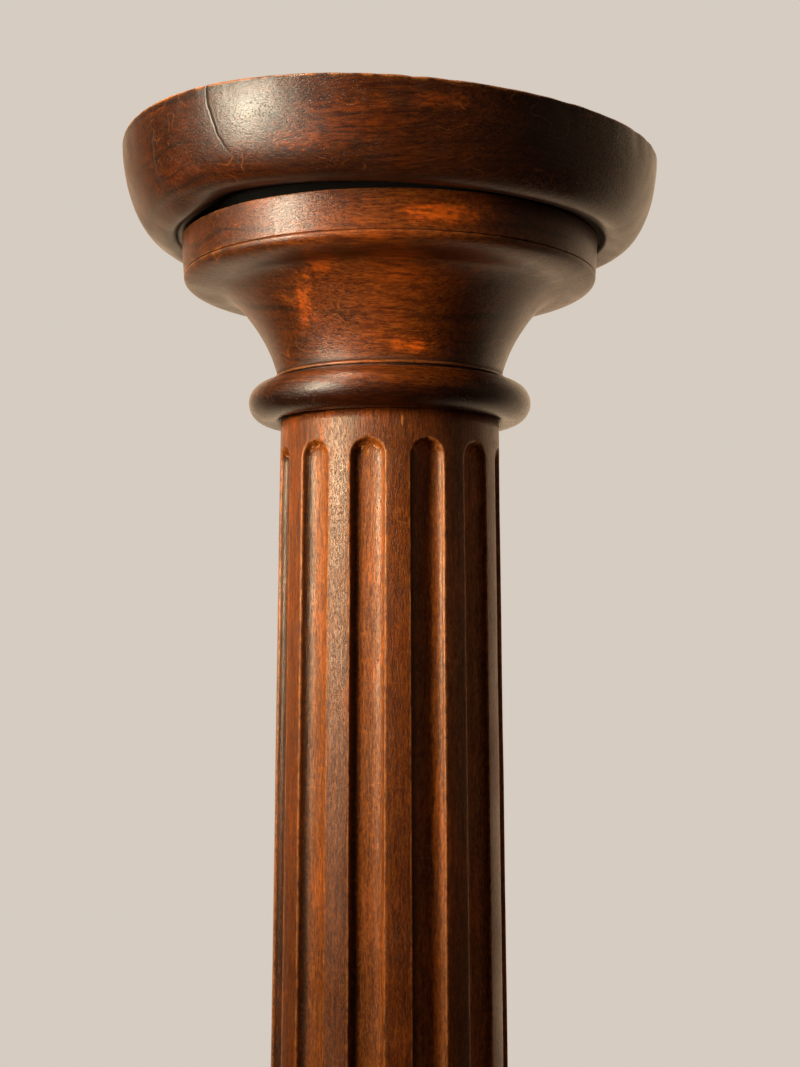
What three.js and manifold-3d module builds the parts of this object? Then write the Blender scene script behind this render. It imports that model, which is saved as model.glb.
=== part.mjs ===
// A free-standing wooden pedestal column: a round top, a turned capital, a fluted shaft, a turned base and a plinth.
// Millimetres, +Z up. The origin is the middle of the underside, and the front faces -Y.
// Angles around the column are azimuths in degrees: 0 at the front, positive towards +X.
import * as THREE from 'three';
import { mergeVertices } from 'three/addons/utils/BufferGeometryUtils.js';
import Module from 'manifold-3d';

const wasm = await Module();
wasm.setup();

// The gap left between two pieces that touch
const jointGap = 0.3;

// Plinth: a round foot with a rounded upper edge
const plinthRadius = 165;
const plinthHeight = 42;
const plinthEdgeWidth = 16;
const plinthEdgeHeight = 18;
const plinthFootChamfer = 2;

// Shaft: tapered, widest at the foot, with flutes that end in half rounds
const shaftLength = 775;
const shaftTopRadius = 61.3;
const shaftFootRadius = 69.1;
const fluteCount = 12;
const fluteWidth = 18.6;
const fluteDepth = 5.6;
const fluteEndMargin = 17;
const firstFluteAzimuth = -11;

// Capital: a turned block. A ring hangs over the shaft's end, a thin lip ends the bell above it, the bell is a cove
// and then an ovolo, and a plain band tops it. The ring, the lip and the neck follow the shaft's radius.
const capital = {
  shaftRadius: shaftTopRadius,
  ringSectionRadius: 10.9,
  ringRise: 8.7,
  ringClearance: 0.4,
  grooveHeight: 3.4,
  lipHeight: 1.3,
  lipDepth: 1.8,
  neckStep: 2,
  coveHeight: 47.3,
  covePower: 1.37,
  ovoloWidth: 20.9,
  ovoloHeight: 7.8,
  ovoloPower: 2.28,
  quirkWidth: 0.9,
  quirkDepth: 0.9,
  bandRadius: 117.1,
  bandTaper: 1.2,
  bandHeight: 19.9,
};

// Base: a turned block like the capital's, upside down and lower, flared from a ring to a band on the plinth
const base = {
  shaftRadius: shaftFootRadius,
  ringSectionRadius: 11.5,
  ringRise: 9,
  ringClearance: 0.5,
  grooveHeight: 2,
  lipHeight: 2,
  lipDepth: 1.8,
  neckStep: 2,
  coveHeight: 30,
  covePower: 1.5,
  ovoloWidth: 20,
  ovoloHeight: 7,
  ovoloPower: 2.2,
  quirkWidth: 0.8,
  quirkDepth: 0.9,
  bandRadius: 126,
  bandTaper: 1.2,
  bandHeight: 17,
};

// Top: a turned board with a bowl-shaped edge. Under it a flat seat rests on the capital's band, and the bowl's lower
// edge hangs a little below the band's top, just outside it.
const discRadius = 150.1;
const discThickness = 42.7;
const discBowlWidth = 14.2;
const discBowlPower = 1.58;
const discTopEdgeWidth = 6.8;
const discTopEdgeHeight = 1.8;
const discTopEdgePower = 2.2;
const discSeatMargin = 4;
const discRecessHeight = 1.3;
const discRecessClearance = 2.6;
const discRecessLipWidth = 2.4;
const discBowlDrop = 1;

// The board's warp: it leans up on one side and cups, and stays flat in the middle
const warpFlatRadius = 90;
const warpFullMargin = 15;
const warpLeanAngle = 1.54;
const warpLeanAzimuth = -59;
const warpCupRise = 6.2;
const warpCupAzimuth = -62;

// Facets around each turned piece and along each curve
const turnedSides = 48;
const discSides = 60;
const shaftSides = 72;
const ringSteps = 8;
const curveSteps = 5;
const topEdgeSteps = 2;
const fluteCutterSides = 18;
const fluteCutterEndSteps = 4;

const degree = Math.PI / 180;
const quarterTurn = Math.PI / 2;

// Corners closer than this are one corner
const mergeDistance = 1e-4;

// A quarter of a superellipse from (r0, z0) to (r1, z1). It leaves the start upright when startsUpright is true, and
// level otherwise. A power of 2 makes a true quarter ellipse.
function quarterCurve(r0, z0, r1, z1, power, startsUpright, steps) {
  const points = [];
  for (let i = 1; i <= steps; i += 1) {
    const turn = (i / steps) * quarterTurn;
    const early = Math.sin(turn) ** (2 / power);
    const late = 1 - Math.cos(turn) ** (2 / power);
    const alongR = startsUpright ? late : early;
    const alongZ = startsUpright ? early : late;
    points.push(new THREE.Vector2(r0 + (r1 - r0) * alongR, z0 + (z1 - z0) * alongZ));
  }
  return points;
}

// The outline of a block that starts at the shaft's end with a ring, narrows to a neck and flares out to a band.
// Heights are measured from the shaft's end.
function flaredBlockOutline(size) {
  const ringHalfChord = Math.sqrt(size.ringSectionRadius ** 2 - size.ringRise ** 2);
  const ringCentre = size.shaftRadius + size.ringClearance + ringHalfChord;
  const neckRadius = size.shaftRadius + size.neckStep;
  const startTurn = Math.PI + Math.asin(size.ringRise / size.ringSectionRadius);
  const endTurn = 2 * Math.PI + Math.acos((neckRadius - ringCentre) / size.ringSectionRadius);
  const points = [new THREE.Vector2(0, 0)];
  for (let i = 0; i <= ringSteps; i += 1) {
    const turn = startTurn + ((endTurn - startTurn) * i) / ringSteps;
    const r = ringCentre + size.ringSectionRadius * Math.cos(turn);
    const z = size.ringRise + size.ringSectionRadius * Math.sin(turn);
    points.push(new THREE.Vector2(r, z));
  }
  const lipBottom = points[points.length - 1].y + size.grooveHeight;
  const lipTop = lipBottom + size.lipHeight;
  const neckHeight = lipTop + size.lipDepth / 2;
  const coveTop = neckHeight + size.coveHeight;
  const ovoloTop = coveTop + size.ovoloHeight;
  const bandStart = ovoloTop + size.quirkWidth;
  const bandEnd = bandStart + size.bandHeight;
  const ovoloRadius = size.bandRadius - size.bandTaper;
  const coveRadius = ovoloRadius - size.ovoloWidth;
  points.push(
    new THREE.Vector2(neckRadius, lipBottom),
    new THREE.Vector2(neckRadius + size.lipDepth, lipBottom),
    new THREE.Vector2(neckRadius + size.lipDepth, lipTop),
    new THREE.Vector2(neckRadius, neckHeight),
    ...quarterCurve(neckRadius, neckHeight, coveRadius, coveTop, size.covePower, true, curveSteps),
    ...quarterCurve(coveRadius, coveTop, ovoloRadius, ovoloTop, size.ovoloPower, false, curveSteps),
    new THREE.Vector2(ovoloRadius - size.quirkDepth, ovoloTop + size.quirkWidth / 2),
    new THREE.Vector2(ovoloRadius, bandStart),
    new THREE.Vector2(size.bandRadius, bandEnd),
    new THREE.Vector2(0, bandEnd),
  );
  return points;
}

// A block's height, from its flat end at the shaft to the band's flat face
function blockHeight(size) {
  const outline = flaredBlockOutline(size);
  return outline[outline.length - 1].y;
}

// Turns an outline of (radius, height) points, listed upwards from the axis and back to it, around the Z axis
function turned(outline, sides) {
  const geometry = new THREE.LatheGeometry(outline, sides);
  geometry.rotateX(quarterTurn);
  return geometry;
}

function smoothStep(from, to, value) {
  const share = Math.min(Math.max((value - from) / (to - from), 0), 1);
  return share * share * (3 - 2 * share);
}

// How far the warp lifts the board at (x, y): a lean, which grows with the distance towards its high side, and a cup,
// which grows with the square of the distance from the line across it
function warpLift(x, y) {
  const radius = Math.hypot(x, y);
  const azimuth = Math.atan2(x, -y);
  const lean = Math.tan(warpLeanAngle * degree) * radius * Math.cos(azimuth - warpLeanAzimuth * degree);
  const across = (radius * Math.cos(azimuth - warpCupAzimuth * degree)) / discRadius;
  const fullRadius = discRadius - warpFullMargin;
  return (lean + warpCupRise * across * across) * smoothStep(warpFlatRadius, fullRadius, radius);
}

function discGeometry() {
  const seatRadius = warpFlatRadius - discSeatMargin;
  const bowlStart = discRadius - discBowlWidth;
  const topEdge = discRadius - discTopEdgeWidth;
  const widestHeight = discThickness - discTopEdgeHeight;
  const recessRadius = capital.bandRadius + discRecessClearance;
  const outline = [
    new THREE.Vector2(0, 0),
    new THREE.Vector2(seatRadius, 0),
    new THREE.Vector2(seatRadius, discRecessHeight),
    new THREE.Vector2(recessRadius, discRecessHeight),
    new THREE.Vector2(recessRadius + discRecessLipWidth, -discBowlDrop),
    new THREE.Vector2(bowlStart, -discBowlDrop),
    ...quarterCurve(bowlStart, -discBowlDrop, discRadius, widestHeight, discBowlPower, false, curveSteps + 1),
    ...quarterCurve(discRadius, widestHeight, topEdge, discThickness, discTopEdgePower, true, topEdgeSteps),
    new THREE.Vector2((warpFlatRadius + topEdge) / 2, discThickness),
    new THREE.Vector2(warpFlatRadius, discThickness),
    new THREE.Vector2(0, discThickness),
  ];
  const geometry = turned(outline, discSides);
  const position = geometry.attributes.position;
  for (let i = 0; i < position.count; i += 1) {
    position.setZ(i, position.getZ(i) + warpLift(position.getX(i), position.getY(i)));
  }
  return geometry;
}

function plinthGeometry() {
  const edgeStart = plinthHeight - plinthEdgeHeight;
  return turned([
    new THREE.Vector2(0, 0),
    new THREE.Vector2(plinthRadius - plinthFootChamfer, 0),
    new THREE.Vector2(plinthRadius, plinthFootChamfer),
    new THREE.Vector2(plinthRadius, edgeStart),
    ...quarterCurve(plinthRadius, edgeStart, plinthRadius - plinthEdgeWidth, plinthHeight, 2, true, curveSteps),
    new THREE.Vector2(0, plinthHeight),
  ], turnedSides);
}

function baseGeometry() {
  const height = blockHeight(base);
  const outline = flaredBlockOutline(base).map((point) => new THREE.Vector2(point.x, height - point.y));
  return turned(outline.reverse(), turnedSides);
}

function solidFrom(geometry) {
  const bare = geometry.clone();
  bare.deleteAttribute('normal');
  bare.deleteAttribute('uv');
  const merged = mergeVertices(bare, mergeDistance);
  return new wasm.Manifold(new wasm.Mesh({
    numProp: 3,
    vertProperties: merged.attributes.position.array,
    triVerts: new Uint32Array(merged.index.array),
  }));
}

function geometryFrom(solid) {
  const mesh = solid.getMesh();
  const geometry = new THREE.BufferGeometry();
  geometry.setAttribute('position', new THREE.BufferAttribute(mesh.vertProperties, 3));
  geometry.setIndex(new THREE.BufferAttribute(mesh.triVerts, 1));
  return geometry;
}

// The shaft's cone with a flute cut at each azimuth. A flute's section is an arc fluteWidth wide and fluteDepth deep,
// its floor runs parallel to the shaft's side, and the cutter's ball ends give it half-round ends.
function shaftGeometry() {
  let solid = solidFrom(turned([
    new THREE.Vector2(0, 0),
    new THREE.Vector2(shaftFootRadius, 0),
    new THREE.Vector2(shaftTopRadius, shaftLength),
    new THREE.Vector2(0, shaftLength),
  ], shaftSides));
  const halfWidth = fluteWidth / 2;
  const middleRadius = (shaftTopRadius + shaftFootRadius) / 2;
  const bulge = middleRadius - Math.sqrt(middleRadius ** 2 - halfWidth ** 2);
  const chordDepth = fluteDepth - bulge;
  const cutterRadius = (halfWidth ** 2 + chordDepth ** 2) / (2 * chordDepth);
  const straightLength = shaftLength - 2 * fluteEndMargin - fluteWidth;
  const taperAngle = Math.atan((shaftFootRadius - shaftTopRadius) / shaftLength);
  for (let i = 0; i < fluteCount; i += 1) {
    const cutter = new THREE.CapsuleGeometry(cutterRadius, straightLength, fluteCutterEndSteps, fluteCutterSides);
    cutter.rotateX(quarterTurn - taperAngle);
    cutter.translate(0, -(middleRadius - fluteDepth + cutterRadius), shaftLength / 2);
    cutter.rotateZ((firstFluteAzimuth + (i * 360) / fluteCount) * degree);
    solid = solid.subtract(solidFrom(cutter));
  }
  return geometryFrom(solid);
}

function piece(name, geometry, z, colour, roughness) {
  const material = new THREE.MeshStandardMaterial({ color: colour, roughness, metalness: 0 });
  const mesh = new THREE.Mesh(geometry, material);
  mesh.name = name;
  mesh.position.z = z;
  return mesh;
}

const baseZ = plinthHeight + jointGap;
const shaftZ = baseZ + blockHeight(base) + jointGap;
const capitalZ = shaftZ + shaftLength + jointGap;
const discZ = capitalZ + blockHeight(capital) + jointGap;

const column = new THREE.Group();
column.add(
  piece('plinth', plinthGeometry(), 0, 0x5a2a15, 0.42),
  piece('base_moulding', baseGeometry(), baseZ, 0x632f17, 0.38),
  piece('fluted_shaft', shaftGeometry(), shaftZ, 0x74371a, 0.4),
  piece('capital', turned(flaredBlockOutline(capital), turnedSides), capitalZ, 0x6b3018, 0.34),
  piece('top_disc', discGeometry(), discZ, 0x5f2b16, 0.32),
);

export default column;
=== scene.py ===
"""A free-standing wooden pedestal column: round plinth, turned base, fluted shaft, turned capital and a
warped top.

Everything is in metres, +Z up, with the front facing -Y. Angles around the column are azimuths: 0 at the
front and positive towards +X. The fixed frame gives each piece's place, and each piece is a surface
worked out with numpy.
"""

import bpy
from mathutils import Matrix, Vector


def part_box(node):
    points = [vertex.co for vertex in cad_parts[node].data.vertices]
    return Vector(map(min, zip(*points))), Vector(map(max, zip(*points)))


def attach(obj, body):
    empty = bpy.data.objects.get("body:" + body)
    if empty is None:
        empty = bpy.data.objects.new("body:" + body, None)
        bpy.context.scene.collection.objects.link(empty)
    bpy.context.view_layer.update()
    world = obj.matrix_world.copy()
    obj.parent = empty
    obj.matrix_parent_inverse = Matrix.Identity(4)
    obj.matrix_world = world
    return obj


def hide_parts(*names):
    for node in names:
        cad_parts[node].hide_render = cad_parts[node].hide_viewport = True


bl_info = {
    "name": "Wooden Pedestal Column",
    "version": (1, 0, 0),
    "blender": (4, 5, 0),
    "location": "View3D > Sidebar > Column",
    "description": "Makes a turned and fluted wooden pedestal column on a plain studio stage",
    "category": "Add Mesh",
}

import math

import bpy
import numpy as np
from bpy.props import FloatProperty, FloatVectorProperty, IntProperty, PointerProperty
from mathutils import Matrix, Vector

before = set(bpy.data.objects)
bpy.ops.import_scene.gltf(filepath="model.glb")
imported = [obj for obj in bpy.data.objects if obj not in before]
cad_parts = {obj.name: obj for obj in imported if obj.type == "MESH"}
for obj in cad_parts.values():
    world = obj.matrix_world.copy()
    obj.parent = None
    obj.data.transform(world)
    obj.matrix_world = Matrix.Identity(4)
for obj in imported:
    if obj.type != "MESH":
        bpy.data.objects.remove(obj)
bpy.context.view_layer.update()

MM = 0.001
FULL_TURN = 2 * math.pi
DEGREE = math.pi / 180

plinth_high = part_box("plinth")[1]
base_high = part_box("base_moulding")[1]
shaft_low, shaft_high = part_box("fluted_shaft")
capital_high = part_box("capital")[1]
top_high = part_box("top_disc")[1]

# How finely the surfaces are divided: rows along an outline, and columns around or across
PLINTH_ROWS = 76
PLINTH_COLUMNS = 400
BLOCK_ROWS = 190
BLOCK_COLUMNS = 500
SHAFT_ROWS = 176
FLUTE_COLUMNS = 44
TOP_ROWS = 196
TOP_COLUMNS = 500


# Sizes and colours that a user would change

def length(label, explanation, millimetres):
    """A size whose default is given in millimetres."""
    return FloatProperty(name=label, description=explanation, default=millimetres * MM, min=0.0, precision=5,
                         subtype="DISTANCE", unit="LENGTH")


def measured(label, explanation, metres):
    """A size whose default is measured on the frame, in metres."""
    return FloatProperty(name=label, description=explanation, default=metres, min=0.0, precision=5,
                         subtype="DISTANCE", unit="LENGTH")


def angle(label, explanation, degrees):
    return FloatProperty(name=label, description=explanation, default=degrees * DEGREE, subtype="ANGLE",
                         unit="ROTATION")


def number(label, explanation, default):
    return FloatProperty(name=label, description=explanation, default=default, min=0.0)


def colour(label, explanation, red, green, blue):
    """A colour whose default is given as display values from 0 to 255."""
    display = np.array([red, green, blue]) / 255
    linear = ((display + 0.055) / 1.055) ** 2.4
    return FloatVectorProperty(name=label, description=explanation, default=tuple(linear.tolist()), min=0.0,
                               max=1.0, size=3, subtype="COLOR")


class PlinthSizes(bpy.types.PropertyGroup):
    """Sizes of the round plinth"""

    radius: measured("Radius", "Radius of the round plinth", plinth_high.x)
    height: measured("Height", "Height of the plinth", plinth_high.z)
    edge_width: length("Edge width", "How far the rounded upper edge reaches inwards", 16)
    edge_height: length("Edge height", "How far the rounded upper edge reaches down", 18)
    foot_chamfer: length("Foot chamfer", "Small chamfer where the plinth meets the floor", 2)


class BaseSizes(bpy.types.PropertyGroup):
    """Sizes of the turned base, from the shaft's foot down"""

    ring_section: length("Ring section", "Radius of the ring's round section", 11.5)
    ring_rise: length("Ring rise", "Distance of the ring's middle from the shaft's end", 9)
    ring_clearance: length("Ring clearance", "Gap between the shaft and the ring's inner edge", 0.5)
    groove_height: length("Groove height", "Height of the groove between ring and lip", 2)
    lip_height: length("Lip height", "Height of the thin lip", 2)
    lip_depth: length("Lip depth", "How far the lip stands out", 1.8)
    neck_step: length("Neck step", "How much wider the neck is than the shaft", 2)
    cove_height: length("Cove height", "Height of the hollow curve", 30)
    cove_power: number("Cove power", "Fullness of the hollow curve", 1.5)
    ovolo_width: length("Ovolo width", "Reach of the round curve under the band", 20)
    ovolo_height: length("Ovolo height", "Height of the round curve under the band", 7)
    ovolo_power: number("Ovolo power", "Fullness of the round curve", 2.2)
    junction_softness: length("Junction softness", "How softly the hollow and the round curve meet", 2.4)
    quirk_width: length("Quirk width", "Width of the fine groove beside the band", 0.8)
    quirk_depth: length("Quirk depth", "Depth of the fine groove beside the band", 0.9)
    band_radius: measured("Band radius", "Radius of the plain band", base_high.x)
    band_taper: length("Band taper", "How much the band narrows towards the quirk", 1.2)
    band_height: length("Band height", "Height of the plain band", 17)


class CapitalSizes(bpy.types.PropertyGroup):
    """Sizes of the turned capital, from the shaft's top up"""

    ring_section: length("Ring section", "Radius of the ring's round section", 10.9)
    ring_rise: length("Ring rise", "Distance of the ring's middle from the shaft's end", 8.7)
    ring_clearance: length("Ring clearance", "Gap between the shaft and the ring's inner edge", 0.4)
    groove_height: length("Groove height", "Height of the groove between ring and lip", 3.4)
    lip_height: length("Lip height", "Height of the thin lip", 1.3)
    lip_depth: length("Lip depth", "How far the lip stands out", 1.8)
    neck_step: length("Neck step", "How much wider the neck is than the shaft", 2)
    cove_height: length("Cove height", "Height of the hollow curve", 47.3)
    cove_power: number("Cove power", "Fullness of the hollow curve", 1.37)
    ovolo_width: length("Ovolo width", "Reach of the round curve under the band", 20.9)
    ovolo_height: length("Ovolo height", "Height of the round curve under the band", 7.8)
    ovolo_power: number("Ovolo power", "Fullness of the round curve", 2.28)
    junction_softness: length("Junction softness", "How softly the hollow and the round curve meet", 2.4)
    quirk_width: length("Quirk width", "Width of the fine groove beside the band", 0.9)
    quirk_depth: length("Quirk depth", "Depth of the fine groove beside the band", 0.9)
    band_radius: measured("Band radius", "Radius of the plain band", capital_high.x)
    band_taper: length("Band taper", "How much the band narrows towards the quirk", 1.2)
    band_height: length("Band height", "Height of the plain band", 19.9)


class ShaftSizes(bpy.types.PropertyGroup):
    """Sizes of the tapered shaft and its flutes"""

    foot_radius: measured("Foot radius", "Radius at the foot", shaft_high.x)
    top_radius: length("Top radius", "Radius at the top", 61.3)
    flute_count: IntProperty(name="Flutes", description="Number of flutes around the shaft", default=12,
                             min=3)
    flute_width: length("Flute width", "Width of a flute at the surface", 18.6)
    flute_depth: length("Flute depth", "Depth of a flute along its middle", 5.6)
    flute_power: number("Flute power", "Fullness of a flute's section", 2.35)
    flute_end_margin: length("End margin", "Plain length between a flute's tip and the shaft's end", 17)
    first_flute: angle("First flute", "Azimuth of the flute nearest the front", -11)
    arris_softness: length("Arris softness", "How far the flutes' edges are worn round", 0.55)
    gouge_depth: length("Gouge depth", "Unevenness left by hand cutting in the flutes", 0.13)


class TopSizes(bpy.types.PropertyGroup):
    """Sizes of the round top, its warp and its drying crack"""

    radius: measured("Radius", "Radius of the round top", top_high.x)
    thickness: length("Thickness", "Thickness in the flat middle", 42.7)
    bowl_width: length("Bowl width", "How far the bowl-shaped edge reaches inwards", 19.4)
    bowl_power: number("Bowl power", "Fullness of the bowl-shaped edge", 1.86)
    bowl_drop: length("Bowl drop", "How far the bowl hangs below the seat", 3.2)
    edge_width: length("Edge width", "Reach of the eased upper edge", 6.8)
    edge_height: length("Edge height", "Height of the eased upper edge", 1.8)
    edge_power: number("Edge power", "Fullness of the eased upper edge", 2.2)
    seat_margin: length("Seat margin", "Distance of the seat's edge from the start of the warp", 4)
    recess_height: length("Recess height", "Height of the shallow recess around the seat", 1.3)
    recess_clearance: length("Recess clearance", "Gap between the recess's edge and the capital's band", 2.6)
    recess_power: number("Recess power", "Fullness of the slope from the recess to the bowl's foot", 1.6)
    flat_radius: length("Flat radius", "Radius of the middle that has not warped", 90)
    warp_margin: length("Warp margin", "Distance from the rim at which the warp is full", 15)
    lean_angle: angle("Lean", "Slope of the warped rim", 1.54)
    lean_azimuth: angle("Lean azimuth", "Side on which the rim is highest", -59)
    cup_rise: length("Cup rise", "How far the board has cupped at the rim", 6.2)
    cup_azimuth: angle("Cup azimuth", "Direction in which the board has cupped", -62)
    closed_azimuth: angle("Closed azimuth", "Azimuth beyond which the gap above the capital closes", -50)
    crack_place: length("Crack place", "How far in front of the middle the drying crack lies", 119.5)
    crack_width: length("Crack width", "Width of the drying crack at the rim", 0.55)
    crack_depth: length("Crack depth", "Depth of the groove that the crack leaves at the rim", 0.34)
    crack_step: length("Crack step", "How far the wood in front of the crack has risen", 0.05)


class WoodColours(bpy.types.PropertyGroup):
    """Colours of the stained hardwood"""

    dark: colour("Dark", "Late wood and the deepest stain", 62, 23, 5)
    middle: colour("Middle", "The stained wood", 108, 47, 11)
    pale: colour("Pale", "Early wood", 156, 86, 28)
    flame: colour("Flame", "Figure that glows through the stain", 206, 90, 16)
    worn: colour("Worn", "Arrises where the stain has rubbed off", 196, 118, 58)
    # Pore also serves for painted shade in the creases and in hidden hollows
    pore: colour("Pore", "Filled pores, cracks and wax in the creases", 16, 8, 4)


class ColumnSettings(bpy.types.PropertyGroup):
    """Everything that can be set on the column"""

    plinth: PointerProperty(type=PlinthSizes)
    base: PointerProperty(type=BaseSizes)
    shaft: PointerProperty(type=ShaftSizes)
    capital: PointerProperty(type=CapitalSizes)
    top: PointerProperty(type=TopSizes)
    colours: PointerProperty(type=WoodColours)
    joint_gap: length("Joint gap", "Gap left between two pieces that touch", 0.3)
    floor_colour: colour("Surroundings", "The pale floor and what lies behind it", 214, 204, 193)


# Outlines: lists of (radius, height) points, walked upwards from the axis and back to it

def quarter_curve(start, end, power, starts_upright, steps=48):
    """A quarter of a superellipse between two points. With a turn that grows from 0 to a quarter, one
    coordinate follows sin(turn) to the power of 2 / power and the other follows 1 minus that same
    function of the cosine."""
    turn = np.linspace(0, math.pi / 2, steps + 1)[1:]
    early = np.sin(turn) ** (2 / power)
    late = 1 - np.cos(turn) ** (2 / power)
    shares = np.column_stack([late, early] if starts_upright else [early, late])
    return np.array(start) + (np.array(end) - np.array(start)) * shares


def flared_block_outline(block, shaft_radius):
    """The outline of a block that starts at the shaft's end with a ring, narrows to a neck and flares out
    to a band. The ring is an arc, and the flare is a cove and then an ovolo, each a quarter of a
    superellipse. Heights are measured from the shaft's end."""
    half_chord = math.sqrt(block.ring_section**2 - block.ring_rise**2)
    ring_centre = shaft_radius + block.ring_clearance + half_chord
    neck = shaft_radius + block.neck_step
    turn = np.linspace(math.pi + math.asin(block.ring_rise / block.ring_section),
                       FULL_TURN + math.acos((neck - ring_centre) / block.ring_section), 96)
    ring = np.column_stack([ring_centre + block.ring_section * np.cos(turn),
                            block.ring_rise + block.ring_section * np.sin(turn)])
    lip_bottom = ring[-1, 1] + block.groove_height
    lip_top = lip_bottom + block.lip_height
    neck_height = lip_top + block.lip_depth / 2
    cove_top = neck_height + block.cove_height
    ovolo_top = cove_top + block.ovolo_height
    band_start = ovolo_top + block.quirk_width
    band_end = band_start + block.band_height
    ovolo_radius = block.band_radius - block.band_taper
    cove_radius = ovolo_radius - block.ovolo_width
    return np.concatenate([
        [(0, 0)],
        ring,
        [(neck, lip_bottom), (neck + block.lip_depth, lip_bottom), (neck + block.lip_depth, lip_top)],
        [(neck, neck_height)],
        quarter_curve((neck, neck_height), (cove_radius, cove_top), block.cove_power, True),
        quarter_curve((cove_radius, cove_top), (ovolo_radius, ovolo_top), block.ovolo_power, False),
        [(ovolo_radius - block.quirk_depth, ovolo_top + block.quirk_width / 2), (ovolo_radius, band_start)],
        [(block.band_radius, band_end), (0, band_end)],
    ])


def plinth_outline(plinth):
    """A round foot with a small chamfer below and a quarter ellipse above."""
    edge_start = plinth.height - plinth.edge_height
    edge_end = (plinth.radius - plinth.edge_width, plinth.height)
    return np.concatenate([
        [(0, 0), (plinth.radius - plinth.foot_chamfer, 0), (plinth.radius, plinth.foot_chamfer)],
        [(plinth.radius, edge_start)],
        quarter_curve((plinth.radius, edge_start), edge_end, 2, True),
        [(0, plinth.height)],
    ])


def top_outline(top, band_radius):
    """The round top before it warped: a flat seat, a shallow recess, a bowl-shaped edge and an eased
    rim."""
    seat = top.flat_radius - top.seat_margin
    recess = band_radius + top.recess_clearance
    bowl_start = (top.radius - top.bowl_width, -top.bowl_drop)
    widest = (top.radius, top.thickness - top.edge_height)
    return np.concatenate([
        [(0, 0), (seat, 0), (seat, top.recess_height), (recess, top.recess_height)],
        quarter_curve((recess, top.recess_height), bowl_start, top.recess_power, True),
        quarter_curve(bowl_start, widest, top.bowl_power, False),
        quarter_curve(widest, (top.radius - top.edge_width, top.thickness), top.edge_power, True),
        [(0, top.thickness)],
    ])


def bell_mean(points, softness, spacing):
    """Replaces each point of an evenly walked outline by a bell-weighted mean of its neighbours. Beyond
    the axis the outline goes on as its own mirror image, so that both ends stay on the axis."""
    reach = int(math.ceil(3 * softness / spacing))
    mirror = np.array([-1.0, 1.0])
    padded = np.concatenate([points[reach:0:-1] * mirror, points, points[-2:-reach - 2:-1] * mirror])
    bell = np.exp(-0.5 * (np.arange(-reach, reach + 1) * spacing / softness) ** 2)
    bell /= bell.sum()
    return np.column_stack([np.convolve(padded[:, axis], bell, "valid") for axis in range(2)])


def soften_outline(outline, softness, round_places=(), spacing=0.1 * MM):
    """Rounds every corner of the outline a little, as sanding and handling do. Near each of the round
    places (point, softness) it rounds more, in a bell-shaped share of the distance from that point."""
    walked = np.concatenate([[0.0], np.cumsum(np.linalg.norm(np.diff(outline, axis=0), axis=1))])
    even = np.linspace(0, walked[-1], int(round(walked[-1] / spacing)) + 1)
    points = np.column_stack([np.interp(even, walked, outline[:, axis]) for axis in range(2)])
    soft = bell_mean(points, softness, spacing)
    for place, more_softness in round_places:
        away = np.linalg.norm(points - np.array(place), axis=1)
        share = np.exp(-0.5 * (away / (2 * more_softness)) ** 2)[:, None]
        soft += share * (bell_mean(points, more_softness, spacing) - soft)
    return soft


def outline_bend(outline):
    """How sharply the outline turns, in radians a metre: the change of its direction over the distance
    walked. It is positive on an arris and negative in a groove."""
    step = np.gradient(outline, axis=0)
    distance = np.linalg.norm(step, axis=1)
    heading = step / distance[:, None]
    change = np.gradient(heading, axis=0)
    return (heading[:, 0] * change[:, 1] - heading[:, 1] * change[:, 0]) / distance


def pick_rows(outline, count, quiet_start, quiet_end, windows=()):
    """Picks rows from a finely walked outline. They crowd where it bends and in each window (height,
    reach, strength), and are few on the quiet stretches at both ends, which are the flat faces. Returns
    the rows' points, their bend and their outward direction."""
    bend = outline_bend(outline)
    walked = np.concatenate([[0.0], np.cumsum(np.linalg.norm(np.diff(outline, axis=0), axis=1))])
    density = 1 + np.minimum(np.abs(bend) * 12 * MM, 9.0)
    for height, reach, strength in windows:
        density += strength * (np.abs(outline[:, 1] - height) < reach)
    quiet = (walked < quiet_start) | (walked > walked[-1] - quiet_end)
    density[quiet] = 0.12
    share = np.concatenate([[0.0], np.cumsum((density[1:] + density[:-1]) / 2 * np.diff(walked))])
    place = np.interp(np.linspace(0, share[-1], count), share, walked)
    rows = np.column_stack([np.interp(place, walked, outline[:, axis]) for axis in range(2)])
    rows[[0, -1], 0] = 0.0
    step = np.gradient(outline, axis=0)
    outward = np.column_stack([step[:, 1], -step[:, 0]]) / np.linalg.norm(step, axis=1)[:, None]
    faces = np.column_stack([np.interp(place, walked, outward[:, axis]) for axis in range(2)])
    return rows, np.interp(place, walked, bend), faces


def crowded_azimuths(count, spots=()):
    """Azimuths once around, drawn together near each spot (azimuth, reach, strength) by a bell-shaped
    density."""
    even = np.linspace(-math.pi, math.pi, 7201)
    density = np.ones_like(even)
    for place, reach, strength in spots:
        density += strength * np.exp(-0.5 * ((even - place) / reach) ** 2)
    share = np.concatenate([[0.0], np.cumsum((density[1:] + density[:-1]) / 2)])
    return np.interp(np.arange(count) * share[-1] / count, share, even)


def smooth_step(low, high, value):
    """0 below low, 1 above high, and 3s^2 - 2s^3 of the share s between them."""
    share = np.clip((value - low) / (high - low), 0, 1)
    return share * share * (3 - 2 * share)


def ripples(azimuths, heights, seed, most_cycles, shortest_wave, count=14):
    """A gentle unevenness between about -1 and 1: the mean of sine waves, each with a whole number of
    cycles around the piece, a wave length along it and a phase drawn from a seeded source."""
    draw = np.random.default_rng(seed)
    total = 0.0
    for _ in range(count):
        cycles = draw.integers(0, most_cycles)
        wave = draw.uniform(shortest_wave, 5 * shortest_wave)
        phase = draw.uniform(0, FULL_TURN)
        total = total + np.sin(cycles * azimuths + FULL_TURN * heights / wave + phase)
    return total / math.sqrt(count)


# Meshes

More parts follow.
